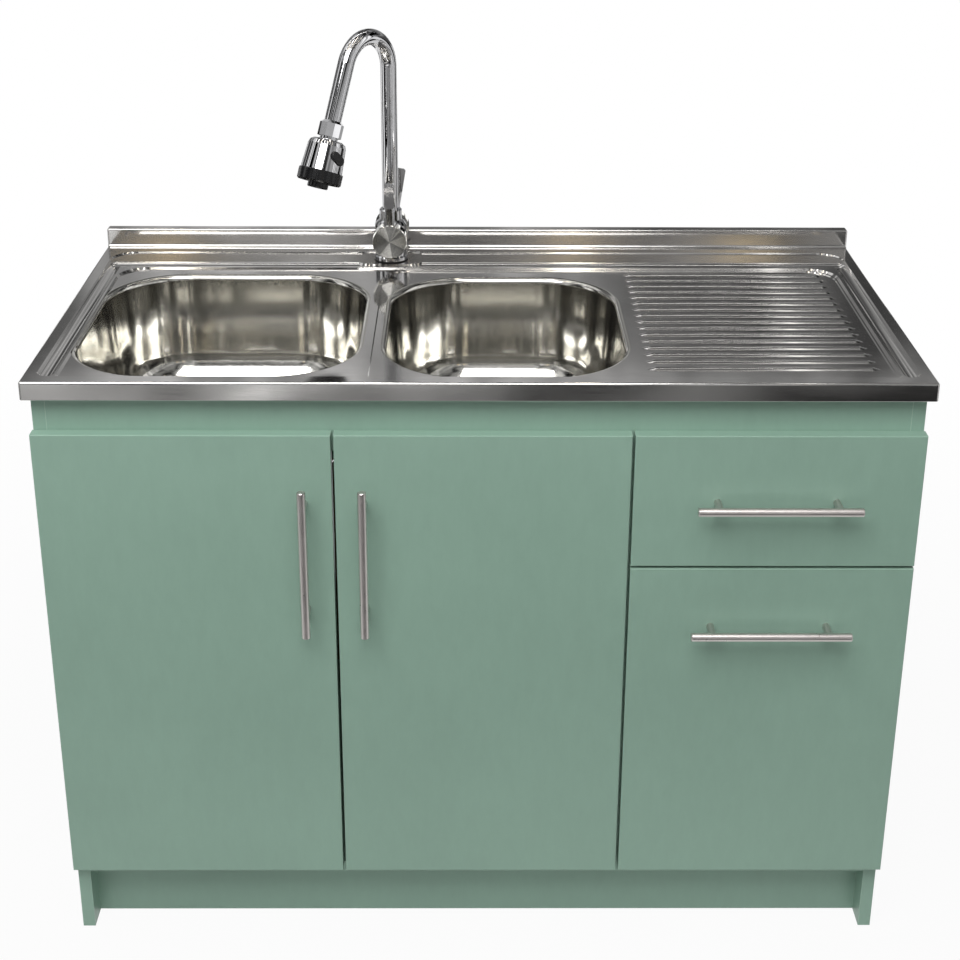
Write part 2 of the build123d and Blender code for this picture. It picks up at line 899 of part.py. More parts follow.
for name, (edge_left, edge_right, hinge_side) in door_plans.items():
    hinge_edge = edge_left if hinge_side < 0 else edge_right
    free_edge = edge_right if hinge_side < 0 else edge_left
    cup_x = hinge_edge - hinge_side * hinge_cup_inset
    handle_place = (
        free_edge + hinge_side * handle_edge,
        front_top - door_handle_top - handle_length / 2,
    )
    with BuildPart() as door:
        box_between(
            (edge_left, edge_right), (front_plane, front_back_plane), (front_bottom, front_top)
        )
        fillet(door.faces().sort_by(Axis.Y)[0].edges(), front_edge_round)
        handle_screws(
            handle_place,
            upright,
            handle_screw / 2 + screw_clearance,
            front_plane,
            front_back_plane,
            Mode.SUBTRACT,
        )
        for height in hinge_heights:
            rod(
                (cup_x, front_back_plane, height), (0, -1, 0), hinge_cup / 2, hinge_cup_depth, Mode.SUBTRACT
            )
    save(door, f"{name}_door_panel")
    bar_handle(handle_place, upright, f"{name}_door_handle")
    with BuildPart() as cups:
        for height in hinge_heights:
            mouth = (cup_x, front_back_plane, height)
            rod(mouth, (0, -1, 0), hinge_cup / 2 - screw_clearance, hinge_cup_depth)
            rod(
                mouth,
                (0, -1, 0),
                hinge_cup / 2 - hinge_cup_wall,
                hinge_cup_depth - hinge_cup_wall,
                Mode.SUBTRACT,
            )
    save(cups, f"{name}_hinge_cups")
    # The arms are screwed to the board beside the door and stop at its back.
    wall_x = -inner_half if hinge_side < 0 else partition_left
    arm_middle = wall_x - hinge_side * (hinge_plate + hinge_arm_width / 2)
    with BuildPart() as arms:
        for height in hinge_heights:
            box_between(
                sorted((wall_x, wall_x - hinge_side * hinge_plate)),
                (carcass_front + hinge_plate_setback, carcass_front + hinge_arm_length),
                (height - hinge_plate_height / 2, height + hinge_plate_height / 2),
            )
            box_between(
                sorted((wall_x - hinge_side * hinge_plate, arm_middle - hinge_side * hinge_arm_width / 2)),
                (carcass_front, carcass_front + hinge_arm_length),
                (height - hinge_arm_width / 2, height + hinge_arm_width / 2),
            )
    save(arms, f"{name}_hinge_arms")

# ---------------------------------------------------------------- drawers
box_left = partition_right + runner_space
box_right = inner_half - runner_space
box_front = front_back_plane
box_rear = box_front + drawer_length
front_left_edge = partition_centre + front_reveal / 2
front_middle = (front_left_edge + door_right_edge) / 2
drawer_plans = {
    "upper": (
        drawer_split + split_reveal / 2,
        front_top,
        upper_box_bottom,
        upper_box_height,
        (drawer_split + split_reveal / 2 + front_top) / 2,
    ),
    "lower": (
        front_bottom,
        drawer_split - split_reveal / 2,
        lower_box_bottom,
        lower_box_height,
        drawer_split - split_reveal / 2 - lower_handle_drop,
    ),
}

for name, (low, high, box_bottom, box_height, handle_z) in drawer_plans.items():
    handle_place = (front_middle, handle_z)
    with BuildPart() as drawer_front:
        box_between((front_left_edge, door_right_edge), (front_plane, front_back_plane), (low, high))
        fillet(drawer_front.faces().sort_by(Axis.Y)[0].edges(), front_edge_round)
        handle_screws(
            handle_place,
            level_across,
            handle_screw / 2 + screw_clearance,
            front_plane,
            front_back_plane,
            Mode.SUBTRACT,
        )
    save(drawer_front, f"{name}_drawer_front")
    bar_handle(handle_place, level_across, f"{name}_drawer_handle")
    groove_bottom = box_bottom + drawer_groove_lift
    groove_top = groove_bottom + drawer_bottom_board
    with BuildPart() as drawer_sides:
        for outer, inner in (
            (box_left, box_left + drawer_board),
            (box_right, box_right - drawer_board),
        ):
            box_between(sorted((outer, inner)), (box_front, box_rear), (box_bottom, box_bottom + box_height))
        box_between(
            (box_left + drawer_board - drawer_groove, box_right - drawer_board + drawer_groove),
            (box_front, box_rear),
            (groove_bottom, groove_top),
            mode=Mode.SUBTRACT,
        )
    save(drawer_sides, f"{name}_drawer_sides")
    with BuildPart() as drawer_back:
        box_between(
            (box_left + drawer_board, box_right - drawer_board),
            (box_rear - drawer_board, box_rear),
            (groove_top, box_bottom + box_height),
        )
    save(drawer_back, f"{name}_drawer_back")
    with BuildPart() as drawer_bottom:
        box_between(
            (box_left + drawer_board - drawer_groove, box_right - drawer_board + drawer_groove),
            (box_front, box_rear),
            (groove_bottom, groove_top),
        )
    save(drawer_bottom, f"{name}_drawer_bottom")
    # Roller runners: the channel on the cabinet has a roller at its front end, the
    # angle on the drawer has one at its rear end.
    channel_bottom = box_bottom - runner_below_box
    channel_top = channel_bottom + runner_height
    roller_start = 2 * runner_steel
    with BuildPart() as cabinet_runners:
        for wall_x, inwards in ((partition_right, 1), (inner_half, -1)):
            box_between(
                sorted((wall_x, wall_x + inwards * runner_steel)),
                (carcass_front, carcass_front + drawer_length),
                (channel_bottom, channel_top),
            )
            box_between(
                sorted((wall_x, wall_x + inwards * (roller_start + roller_width))),
                (carcass_front, carcass_front + drawer_length),
                (channel_bottom, channel_bottom + runner_steel),
            )
            wheel_z = channel_top - runner_steel - runner_clearance - roller_radius
            wheel_y = carcass_front + roller_radius + roller_end_gap
            rod((wall_x, wheel_y, wheel_z), (inwards, 0, 0), roller_pin / 2, roller_start + roller_width)
            rod(
                (wall_x + inwards * roller_start, wheel_y, wheel_z),
                (inwards, 0, 0),
                roller_radius,
                roller_width,
            )
    save(cabinet_runners, f"{name}_cabinet_runners")
    with BuildPart() as drawer_runners:
        for side_x, outwards in ((box_left, -1), (box_right, 1)):
            box_between(
                sorted((side_x, side_x + outwards * runner_steel)),
                (box_front + runner_end_gap, box_rear),
                (channel_bottom + runner_leg_drop, channel_top),
            )
            box_between(
                sorted((side_x, side_x + outwards * (runner_space - roller_start))),
                (box_front + runner_end_gap, box_rear),
                (channel_top - runner_steel, channel_top),
            )
            wheel_z = channel_bottom + runner_steel + runner_clearance + roller_radius
            wheel_y = box_rear - roller_radius - roller_end_gap
            wheel_start = side_x + outwards * (runner_space - roller_start - roller_width)
            rod((side_x, wheel_y, wheel_z), (outwards, 0, 0), roller_pin / 2, runner_space - roller_start)
            rod((wheel_start, wheel_y, wheel_z), (outwards, 0, 0), roller_radius, roller_width)
    save(drawer_runners, f"{name}_drawer_runners")

# ---------------------------------------------------------------- tap
tap_foot = ledge_level + tap_gasket
tap_arm_z = tap_foot + tap_arm_height
tap_body_top = tap_foot + tap_body_height + tap_shoulder
shank_seat = tap_base_height - tap_shank_roof
shank_top = tap_foot + shank_seat

with BuildPart() as gasket:
    rod((tap_x, tap_y, ledge_level), upright, tap_base / 2 - tap_gasket_inset, tap_gasket)
    rod((tap_x, tap_y, ledge_level), upright, tap_shank / 2 + running_gap, tap_gasket, Mode.SUBTRACT)
save(gasket, "tap_gasket")

tap_body_piece = turned(
    [
        (0, 0),
        (tap_base / 2, 0),
        (tap_base / 2, tap_base_height - tap_base_bevel),
        (tap_body / 2, tap_base_height),
        (tap_body / 2, tap_body_height),
        (tap_body / 2 - tap_shoulder_edge, tap_body_height + tap_shoulder_rise),
        (collar / 2, tap_body_height + tap_shoulder),
        (0, tap_body_height + tap_shoulder),
    ],
    (tap_x, tap_y, tap_foot),
)
with tap_body_piece:
    rod((tap_x, tap_y - tap_arm_reach, tap_arm_z), (0, 1, 0), tap_arm / 2, 2 * tap_arm_reach)
    for facing in (-1, 1):
        rod(
            (tap_x, tap_y + facing * tap_arm_reach, tap_arm_z),
            (0, -facing, 0),
            headwork / 2 + screw_clearance,
            headwork_depth,
            Mode.SUBTRACT,
        )
    rod(
        (tap_x, tap_y, tap_body_top),
        (0, 0, -1),
        spout_tube / 2 + running_gap,
        spout_socket + running_gap,
        Mode.SUBTRACT,
    )
    rod((tap_x, tap_y, tap_foot), upright, tap_shank / 2 + screw_clearance, shank_seat, Mode.SUBTRACT)
save(tap_body_piece, "tap_body")

with BuildPart() as shank:
    shank_bottom = ledge_level - tap_shank_length
    rod((tap_x, tap_y, shank_bottom), upright, tap_shank / 2, shank_top - shank_bottom)
    for offset in (-inlet_spacing / 2, inlet_spacing / 2):
        rod((tap_x + offset, tap_y, shank_bottom), upright, inlet_thread / 2, inlet_depth, Mode.SUBTRACT)
save(shank, "tap_shank")

with BuildPart() as tap_nut_piece:
    nut_top = ledge_level - sheet
    with BuildSketch(Plane.XY.offset(nut_top - tap_nut_height)):
        with Locations((tap_x, tap_y)):
            RegularPolygon(tap_nut / 2, 6, major_radius=False)
            Circle(tap_shank / 2 + screw_clearance, mode=Mode.SUBTRACT)
    extrude(amount=tap_nut_height)
save(tap_nut_piece, "tap_nut")

for facing, name, turn in ((-1, "front", 0.0), (1, "rear", rear_lever_turn)):
    outwards = (0, facing, 0)
    lever_up = (sin(radians(turn)), 0, cos(radians(turn)))
    arm_end = tap_y + facing * tap_arm_reach
    with BuildPart() as headwork_piece:
        rod(
            (tap_x, arm_end - facing * headwork_depth, tap_arm_z), outwards, headwork / 2, headwork_depth
        )
        rod((tap_x, arm_end, tap_arm_z), outwards, spindle / 2, spindle_length)
    save(headwork_piece, f"{name}_headwork")
    cap_face = arm_end + facing * (spindle_length + lever_cap_wall + lever_cap_gap)
    with BuildPart() as cap:
        cap_middle = Plane((tap_x, cap_face, tap_arm_z), z_dir=(0, -facing, 0))
        with BuildSketch(cap_middle):
            Circle(lever_cap / 2)
        extrude(amount=lever_cap_depth)
        chamfer(cap.faces().sort_by(Axis.Y)[0 if facing < 0 else -1].edges(), lever_cap_bevel)
        pocket_start = (tap_x, cap_face - facing * lever_cap_wall, tap_arm_z)
        pocket_depth = lever_cap_depth - lever_cap_wall
        with BuildSketch(Plane(pocket_start, z_dir=(0, -facing, 0)), mode=Mode.PRIVATE) as pocket:
            Circle(lever_cap / 2 - lever_cap_wall)
            Circle(lever_hub / 2, mode=Mode.SUBTRACT)
        extrude(pocket.sketch, amount=pocket_depth, mode=Mode.SUBTRACT)
        rod(pocket_start, (0, -facing, 0), spindle / 2 + running_gap, pocket_depth, Mode.SUBTRACT)
        hub_end = cap_face - facing * (lever_cap_wall + spindle_length)
        rod((tap_x, hub_end, tap_arm_z), (0, -facing, 0), lever_hub, pocket_depth, Mode.SUBTRACT)
    save(cap, f"{name}_lever_cap")
    stem_y = cap_face - facing * lever_cap_depth / 2
    with BuildPart() as lever:
        root = Vector(tap_x, stem_y, tap_arm_z)
        along = Vector(*lever_up)
        stem_foot = lever_cap / 2 - lever_stem_sink
        stem_top = lever_cap / 2 + lever_stem_length
        blade_foot = stem_top - lever_lap
        rod(root + along * stem_foot, lever_up, lever_width / 2, stem_top - stem_foot)
        blade_plane = Plane(
            (tap_x, stem_y + facing * (lever_width / 2 - lever_blade), tap_arm_z),
            x_dir=(lever_up[2], 0, -lever_up[0]),
            z_dir=outwards,
        )
        blade_side = 1 if blade_plane.y_dir.Z > 0 else -1
        with BuildSketch(blade_plane, mode=Mode.PRIVATE) as blade:
            with Locations((0, blade_side * (blade_foot + lever_reach) / 2)):
                RectangleRounded(lever_width, lever_reach - blade_foot, lever_blade_round)
        extrude(blade.sketch, amount=lever_blade)
        rod(
            (tap_x, cap_face, tap_arm_z),
            (0, -facing, 0),
            lever_cap / 2 + screw_clearance,
            lever_cap_depth,
            Mode.SUBTRACT,
        )
    save(lever, f"{name}_lever")

# Spout: a post, a bend over the bowls and a straight leg that leans forward.
turn = radians(spout_turn)
spout_forward = Vector(-sin(turn), -cos(turn), 0)
spout_side = Vector(cos(turn), -sin(turn), 0)
sweep_angle = radians(spout_sweep)
leg_direction = spout_forward * sin(sweep_angle) + Vector(0, 0, cos(sweep_angle))
collar_bottom = tap_body_top + running_gap
spout_start = tap_body_top - spout_socket
spout_plane = Plane((tap_x, tap_y, 0), x_dir=spout_forward, z_dir=spout_forward.cross(Vector(0, 0, 1)))

with BuildPart() as collar_piece:
    rod((tap_x, tap_y, collar_bottom), upright, collar / 2, collar_height)
    chamfer(collar_piece.faces().sort_by(Axis.Z)[-1].edges(), collar_bevel)
    rod(
        (tap_x, tap_y, collar_bottom), upright, spout_tube / 2 + screw_clearance, collar_height, Mode.SUBTRACT
    )
save(collar_piece, "spout_collar")

with BuildPart() as spout:
    with BuildLine(spout_plane) as route:
        post = Line((0, spout_start), (0, spout_rise))
        bend = CenterArc((spout_bend, spout_rise), spout_bend, 180, -spout_sweep)
        leg = Line(bend @ 1, (bend @ 1) + (bend % 1) * (spout_leg + spray_nut_seat))
    with BuildSketch(Plane((tap_x, tap_y, spout_start), z_dir=upright)):
        Circle(spout_tube / 2)
        Circle(spout_tube / 2 - spout_wall, mode=Mode.SUBTRACT)
    sweep(path=route.wires()[0])
save(spout, "spout_pipe")

# ---------------------------------------------------------------- spray head
bend_end = (
    Vector(tap_x, tap_y, spout_rise)
    + spout_forward * spout_bend * (1 - cos(sweep_angle))
    + Vector(0, 0, spout_bend * sin(sweep_angle))
)
head_top = bend_end + leg_direction * spout_leg
head_front = spout_forward * (-cos(sweep_angle)) + Vector(0, 0, sin(sweep_angle))
head_plane = Plane(head_top, x_dir=spout_side, z_dir=leg_direction)
head_section = Plane(head_top, x_dir=spout_side, z_dir=spout_side.cross(leg_direction))
head_axis = Axis(head_top, leg_direction)


def head_turned(points):
    """A solid turned about the spray head's axis, from (radius, distance) points."""
    with BuildPart() as piece:
        with BuildSketch(head_section):
            with BuildLine():
                Polyline(*points, close=True)
            make_face()
        revolve(axis=head_axis)
    return piece


with BuildPart() as spray_nut_piece:
    with BuildSketch(head_plane):
        RegularPolygon(spray_nut / 2, spray_nut_flats)
    extrude(amount=spray_nut_height)
    chamfer(spray_nut_piece.faces().sort_by(head_axis)[0].edges(), spray_nut_bevel)
    seat_depth = spray_nut_seat + spray_nut_room
    rod(head_top, leg_direction, spout_tube / 2 + screw_clearance, seat_depth, Mode.SUBTRACT)
    rod(head_top, leg_direction, neck_radius + running_gap, spray_nut_height, Mode.SUBTRACT)
save(spray_nut_piece, "spray_nut")

neck_start = spray_nut_seat + 2 * spray_nut_room
bell = head_turned(
    [
        (0, neck_start),
        (neck_radius, neck_start),
        (neck_radius, spray_nut_height + running_gap),
        (spray_neck / 2, spray_nut_height + running_gap),
        (spray_neck / 2, spray_nut_height + spray_flange_height),
        (spray_shoulder / 2 - spray_shoulder_foot, spray_shoulder_at - spray_shoulder_slope),
        (spray_shoulder / 2 - spray_shoulder_edge, spray_shoulder_at - spray_shoulder_round),
        (spray_shoulder / 2, spray_shoulder_at),
        (spray_mouth / 2, spray_body_end),
        (spray_cavity, spray_body_end),
        (spray_cavity, spray_shoulder_at + spray_cavity_roof),
        (0, spray_shoulder_at + spray_cavity_roof),
    ]
)
button_angle = radians(spray_button_angle)
button_out = spout_side * sin(button_angle) + head_front * cos(button_angle)
shoulder_share = (spray_button_at - spray_shoulder_at) / (spray_body_end - spray_shoulder_at)
bell_radius = spray_shoulder / 2 + (spray_mouth - spray_shoulder) / 2 * shoulder_share
button_face = head_top + leg_direction * spray_button_at + button_out * (bell_radius + button_proud)
button_tilt = radians(spray_button_tilt)
button_along = leg_direction.cross(button_out) * cos(button_tilt) - leg_direction * sin(button_tilt)
button_plane = Plane(button_face, x_dir=button_along, z_dir=button_out * -1)


def button_outline(growth):
    """Rounded outline of the spray button, grown by a clearance."""
    with BuildSketch(button_plane, mode=Mode.PRIVATE) as outline:
        SlotOverall(spray_button_length + 2 * growth, spray_button_width + 2 * growth)
    return outline.sketch


with bell:
    extrude(button_outline(running_gap), amount=button_proud + button_pocket_depth, mode=Mode.SUBTRACT)
save(bell, "spray_bell")

with BuildPart() as button:
    extrude(button_outline(0), amount=spray_button_depth)
    fillet(button.faces().sort_by(Axis(button_face, button_out))[-1].edges(), spray_button_round)
save(button, "spray_button")

ring_start = spray_body_end + running_gap
ring_end = ring_start + spray_ring_height
ring = head_turned(
    [
        (0, ring_start - ring_spigot),
        (spray_cavity - running_gap, ring_start - ring_spigot),
        (spray_cavity - running_gap, ring_start),
        (spray_ring / 2 - spray_ring_lip, ring_start),
        (spray_ring / 2, ring_start + spray_ring_lip_height),
        (spray_ring / 2, ring_end - spray_ring_bevel),
        (spray_ring / 2 - spray_ring_bevel, ring_end),
        (0, ring_end),
    ]
)
with ring:
    grip_start = head_top + leg_direction * (ring_start + 2 * spray_ring_lip_height)
    grip_plane = Plane(grip_start, x_dir=spout_side, z_dir=leg_direction)
    with BuildSketch(grip_plane, mode=Mode.PRIVATE) as grips:
        with PolarLocations(spray_ring / 2 + spray_grip_out, spray_grips):
            Circle(spray_grip_radius)
    extrude(grips.sketch, amount=spray_ring_height, mode=Mode.SUBTRACT)
save(ring, "spray_ring")

with BuildPart() as nozzle:
    nozzle_plane = Plane(head_top + leg_direction * ring_end, x_dir=spout_side, z_dir=leg_direction)
    with BuildSketch(nozzle_plane):
        Circle(spray_nozzle / 2)
    extrude(amount=spray_nozzle_height)
    chamfer(nozzle.faces().sort_by(head_axis)[-1].edges(), spray_nozzle_bevel)
    face_centre = head_top + leg_direction * (ring_end + spray_nozzle_height)
    face_plane = Plane(face_centre, x_dir=spout_side, z_dir=leg_direction * -1)
    with BuildSketch(face_plane, mode=Mode.PRIVATE) as outlets:
        with PolarLocations(spray_outlet_circle / 2, spray_outlets):
            Circle(spray_outlet / 2)
        Circle(spray_outlet / 2)
    extrude(outlets.sketch, amount=spray_outlet_depth, mode=Mode.SUBTRACT)
save(nozzle, "spray_nozzle")
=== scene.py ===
import json
import math
from math import cos, pi, radians, sin

import bpy
from mathutils import Matrix, Vector

# A kitchen sink unit on a white floor. Metres, +X right, +Y towards the wall, +Z up.

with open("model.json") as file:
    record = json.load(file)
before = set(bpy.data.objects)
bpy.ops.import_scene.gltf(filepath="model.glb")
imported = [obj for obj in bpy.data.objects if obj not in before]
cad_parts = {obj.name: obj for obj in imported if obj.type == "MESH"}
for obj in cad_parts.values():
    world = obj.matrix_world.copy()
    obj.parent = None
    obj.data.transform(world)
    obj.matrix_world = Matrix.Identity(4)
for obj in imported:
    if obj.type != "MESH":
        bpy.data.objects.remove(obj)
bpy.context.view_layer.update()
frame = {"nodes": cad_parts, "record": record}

# ---------------------------------------------------------------- view
IMAGE_SIDE = 960
SENSOR = 36.0
FOCAL_PIXELS = 1663.8
HORIZON_ROW = 350.0
CAMERA_PLACE = (-0.01539, -2.28247, 1.71251)
CAMERA_PITCH = -21.22
CAMERA_ROLL = -0.26
CAMERA_YAW = -0.44
CAMERA_REACH = 60.0

scene = bpy.context.scene
scene.view_settings.view_transform = "Standard"


def add_camera():
    """The camera at the photograph's place, with its lens and framing."""
    data = bpy.data.cameras.new("camera")
    data.sensor_width = SENSOR
    data.lens = FOCAL_PIXELS / IMAGE_SIDE * SENSOR
    data.shift_y = (HORIZON_ROW - IMAGE_SIDE / 2) / IMAGE_SIDE
    data.clip_end = CAMERA_REACH
    camera = bpy.data.objects.new("camera", data)
    bpy.context.collection.objects.link(camera)
    turn = (
        Matrix.Rotation(radians(CAMERA_YAW), 4, "Z")
        @ Matrix.Rotation(radians(CAMERA_PITCH), 4, "X")
        @ Matrix.Rotation(radians(CAMERA_ROLL), 4, "Y")
    )
    look_level = Matrix.Rotation(radians(90), 4, "X")
    camera.matrix_world = Matrix.Translation(CAMERA_PLACE) @ turn @ look_level
    scene.camera = camera


# ---------------------------------------------------------------- shader building
NOISE_RANGE = (0.3, 0.7)  # most of a noise's values lie between these
BEVEL_SAMPLES = 6


class Shader:
    """A node tree with short calls for the nodes used here."""

    def __init__(self, tree):
        self.tree = tree

    def node(self, kind, settings=None, **inputs):
        """Adds a node. Inputs are values or sockets, by their names with _ for spaces."""
        made = self.tree.nodes.new(kind)
        for key, value in (settings or {}).items():
            setattr(made, key, value)
        for key, value in inputs.items():
            self.feed(made.inputs[key.replace("_", " ")], value)
        return made

    def feed(self, socket, value):
        """Sets a socket to a value, or links another socket to it."""
        if isinstance(value, bpy.types.NodeSocket):
            self.tree.links.new(value, socket)
        else:
            socket.default_value = value

    def math(self, operation, first, second=0.0):
        """The result of a Math node."""
        made = self.node("ShaderNodeMath", {"operation": operation})
        self.feed(made.inputs[0], first)
        self.feed(made.inputs[1], second)
        return made.outputs[0]

    def vector(self, operation, first, second=None):
        """The outputs of a Vector Math node."""
        made = self.node("ShaderNodeVectorMath", {"operation": operation})
        self.feed(made.inputs[0], first)
        if second is not None:
            self.feed(made.inputs[1], second)
        return made.outputs

    def parts(self, vector):
        """The X, Y and Z outputs of a vector."""
        return self.node("ShaderNodeSeparateXYZ", Vector=vector).outputs

    def place(self):
        """The point on the surface, in the object's own coordinates."""
        return self.node("ShaderNodeTexCoord").outputs["Object"]

    def ramp(self, value, start, end):
        """A value led from one (value, result) point to another, and held beyond both."""
        made = self.node(
            "ShaderNodeMapRange",
            Value=value,
            From_Min=start[0],
            From_Max=end[0],
            To_Min=start[1],
            To_Max=end[1],
        )
        return made.outputs[0]

    def spread(self, noise, low=0.0, high=1.0):
        """A noise's usual range taken to another."""
        return self.ramp(noise, (NOISE_RANGE[0], low), (NOISE_RANGE[1], high))

    def noise_at(self, vector, scale, detail, roughness=0.5, distortion=0.0):
        """Noise over a vector."""
        made = self.node(
            "ShaderNodeTexNoise",
            Vector=vector,
            Scale=scale,
            Detail=detail,
            Roughness=roughness,
            Distortion=distortion,
        )
        return made.outputs["Fac"]

    def noise(self, stretch, scale, detail, roughness=0.5, distortion=0.0):
        """Noise over the object's own coordinates, stretched by three factors."""
        mapped = self.node("ShaderNodeMapping", Vector=self.place(), Scale=stretch)
        return self.noise_at(mapped.outputs[0], scale, detail, roughness, distortion)

    def grey(self, value):
        """A grey colour from one number."""
        return self.node("ShaderNodeCombineColor", Red=value, Green=value, Blue=value).outputs[0]

    def mix(self, factor, first, second, blend="MIX"):
        """Two colours mixed."""
        made = self.node("ShaderNodeMix", {"data_type": "RGBA", "blend_type": blend})
        self.feed(made.inputs["Factor"], factor)
        self.feed(made.inputs["A"], first)
        self.feed(made.inputs["B"], second)
        return made.outputs["Result"]

    def bump(self, height, distance, strength=1.0, normal=None):
        """A normal bent by a height, with the height's full scale in metres."""
        made = self.node("ShaderNodeBump", Height=height, Distance=distance, Strength=strength)
        if normal is not None:
            self.feed(made.inputs["Normal"], normal)
        return made.outputs[0]

    def edges(self, radius, start=0.0, full=0.25):
        """1 along sharp edges and 0 elsewhere, over a radius in metres."""
        rounded = self.node("ShaderNodeBevel", {"samples": BEVEL_SAMPLES}, Radius=radius).outputs[0]
        plain = self.node("ShaderNodeNewGeometry").outputs["Normal"]
        alike = self.vector("DOT_PRODUCT", rounded, plain)["Value"]
        return self.ramp(self.math("SUBTRACT", 1.0, alike), (start, 0.0), (full, 1.0))


def new_material(name):
    """A material with its Principled node, and the builder for its tree."""
    material = bpy.data.materials.new(name)
    material.use_nodes = True
    return material, Shader(material.node_tree), material.node_tree.nodes["Principled BSDF"]


def bare_shader(owner):
    """The builder for a material's or a world's emptied tree."""
    owner.use_nodes = True
    owner.node_tree.nodes.clear()
    return Shader(owner.node_tree)


def linear(red, green, blue):
    """A colour given as 0 to 255, in the scene's linear numbers."""

    def channel(value):
        share = value / 255
        if share <= 0.04045:
            return share / 12.92
        return ((share + 0.055) / 1.055) ** 2.4

    return channel(red), channel(green), channel(blue), 1.0


# ---------------------------------------------------------------- materials
EVEN = (1, 1, 1)
UPRIGHT_MOTTLE = (1, 1, 0.35)
UPRIGHT_GRAIN = (1, 1, 0.12)
FLAT_FIBRES = (1, 1, 6)

# The width below is that of the painted highlight band along the laminate's edges.
LAMINATE_EDGE = 0.0013
LAMINATE_BRIGHTNESS = (0.96, 1.03)
LAMINATE_MOTTLE = 0.03
LAMINATE_ROUGHNESS = (0.36, 0.46)
LAMINATE_GRAIN = 0.03

ROUGHNESS_SWING = 0.15
STAIN_START, STAIN_FULL = 0.35, 0.7
BRUSHED_ANISOTROPY = 0.6
TURNED_ANISOTROPY = 0.9

CHROME_CLEAN = (0.57, 0.57, 0.58, 1)
CHROME_MARKED = (0.49, 0.49, 0.485, 1)
CAP_BRIGHT = (0.95, 0.94, 0.90, 1)
CAP_GROOVE = (0.80, 0.79, 0.75, 1)
# The dark colour below is painted into the caps' faces as the dark wedges of a spun-metal reflection.
CAP_PAINTED_REFLECTION_DARK = (0.30, 0.30, 0.29, 1)
CAP_SIDE_ROUGHNESS = 0.04
CAP_FACE_ROUGHNESS = (0.15, 0.22)

PLASTIC_SPECULAR = 0.35
PLASTIC_EDGE = 0.0006
FINE_BUMP = 0.00003
FIBRE_BUMP = 0.0001

LEVER_AXIS = (-0.138, 0.930)  # X and Z of the axis on which both lever caps turn
TURNED = ("front_lever_cap", "rear_lever_cap")
SAGE = linear(139, 169, 153)
# The paler sage below is the painted highlight along the laminate's edges.
SAGE_EDGE_HIGHLIGHT = linear(180, 203, 190)


def laminate(name, colour, edge_highlight_colour):
    """Satin laminate: faint mottling, fine grain, and paler edges that are a painted highlight."""
    material, shader, surface = new_material(name)
    cloud = shader.noise(EVEN, scale=3.5, detail=3.0)
    mottle = shader.noise(UPRIGHT_MOTTLE, scale=70.0, detail=6.0, roughness=0.65)
    grain = shader.noise(UPRIGHT_GRAIN, scale=900.0, detail=3.0, roughness=0.6)
    brightness = shader.math(
        "ADD",
        shader.spread(cloud, *LAMINATE_BRIGHTNESS),
        shader.spread(mottle, -LAMINATE_MOTTLE, LAMINATE_MOTTLE),
    )
    mottled = shader.mix(1.0, colour, shader.grey(brightness), "MULTIPLY")
    # Painted highlight: a paler band along the sharp edges stands in for the light that rounded edges catch.
    wear_and_painted_edge_highlight = shader.edges(LAMINATE_EDGE)
    shader.feed(surface.inputs["Base Color"], shader.mix(wear_and_painted_edge_highlight, mottled, edge_highlight_colour))
    rough = shader.math(
        "ADD",
        shader.spread(mottle, *LAMINATE_ROUGHNESS),
        shader.spread(grain, -LAMINATE_GRAIN, LAMINATE_GRAIN),
    )
    shader.feed(surface.inputs["Roughness"], rough)
    shader.feed(surface.inputs["Normal"], shader.bump(grain, FINE_BUMP, strength=0.5))
    return material


def steel(name, colour, stained, roughness, brushing, wave=0.0, scratch=0.00001, along=None, ripple=0.0):
    """Steel with streaks, stains and fine scratches, and at will a sheet's waves and ripples."""
    material, shader, surface = new_material(name)
    surface.inputs["Metallic"].default_value = 1.0
    streak = shader.noise(brushing, scale=30.0, detail=5.0, roughness=0.6)
    hair = shader.noise(brushing, scale=260.0, detail=3.0, roughness=0.6)
    stain = shader.noise(EVEN, scale=7.0, detail=4.0, roughness=0.6, distortion=0.4)
    dirt = shader.ramp(stain, (STAIN_START, 0.0), (STAIN_FULL, 1.0))
    shader.feed(surface.inputs["Base Color"], shader.mix(dirt, colour, stained))
    swing = roughness * ROUGHNESS_SWING
    rough = shader.math(
        "ADD",
        shader.spread(streak, roughness - swing, roughness + swing),
        shader.spread(hair, -swing, swing),
    )
    shader.feed(surface.inputs["Roughness"], rough)
    normal = shader.bump(hair, scratch)
    if wave:
        normal = shader.bump(shader.noise(EVEN, scale=9.0, detail=1.0), wave, normal=normal)
    if ripple:
        normal = shader.bump(shader.noise(brushing, scale=34.0, detail=2.0), ripple, normal=normal)
    shader.feed(surface.inputs["Normal"], normal)
    if along is not None:
        surface.inputs["Anisotropic"].default_value = BRUSHED_ANISOTROPY
        direction = shader.node("ShaderNodeCombineXYZ", X=along[0], Y=along[1], Z=along[2])
        shader.feed(surface.inputs["Tangent"], direction.outputs[0])
    return material


def chrome(name):
    """Plated brass: almost a mirror, with faint water marks."""
    material, shader, surface = new_material(name)
    surface.inputs["Metallic"].default_value = 1.0
    mark = shader.noise(EVEN, scale=45.0, detail=5.0, roughness=0.6)
    spots = shader.ramp(mark, (0.62, 0.0), (0.72, 1.0))
    shader.feed(surface.inputs["Base Color"], shader.mix(spots, CHROME_CLEAN, CHROME_MARKED))
    shader.feed(surface.inputs["Roughness"], shader.ramp(mark, (0.4, 0.03), (0.75, 0.09)))
    return material


